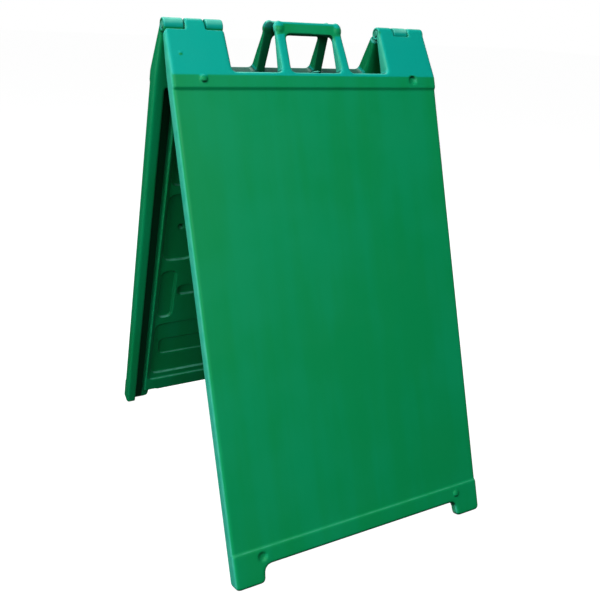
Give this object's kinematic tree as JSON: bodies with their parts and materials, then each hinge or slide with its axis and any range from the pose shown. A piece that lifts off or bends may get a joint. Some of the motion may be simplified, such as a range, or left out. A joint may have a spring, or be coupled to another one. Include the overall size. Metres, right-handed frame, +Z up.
{
  "type": "sandwich board",
  "caption": "Folding A-frame sandwich board: hollow moulded plastic panels hinged on pins along the top edge, with carrying handle loops, full-width sign recesses and short feet.",
  "frame": {"origin": "on the ground, midway between the four feet, below the hinge", "axes": "+Z up, +X along the hinge towards the front panel's right-hand tower, -Y towards the front panel's sign face"},
  "size_m": [0.635, 0.8592, 1.0768],
  "materials": {
    "green_polyethylene": "satin blow-moulded polyethylene with a fine pebbled grain",
    "green_plug": "satin injection-moulded polyethylene",
    "zinc_plated_steel": "zinc plated, dull",
    "green_nylon": "satin nylon"
  },
  "bodies": {
    "front": {"front_panel": "green_polyethylene", "front_fill_plug": "green_plug", "left_hinge_pin": "zinc_plated_steel", "right_hinge_pin": "zinc_plated_steel", "left_inner_pin_cap": "green_nylon", "left_outer_pin_cap": "green_nylon", "right_inner_pin_cap": "green_nylon", "right_outer_pin_cap": "green_nylon"},
    "rear": {"rear_panel": "green_polyethylene", "rear_fill_plug": "green_plug"}
  },
  "joints": [
    {"name": "fold", "type": "hinge", "parent": "front", "child": "rear", "pos_m": [0, 0, 1.06033], "axis": [-1, 0, 0], "range_deg": [0, 41]}
  ]
}
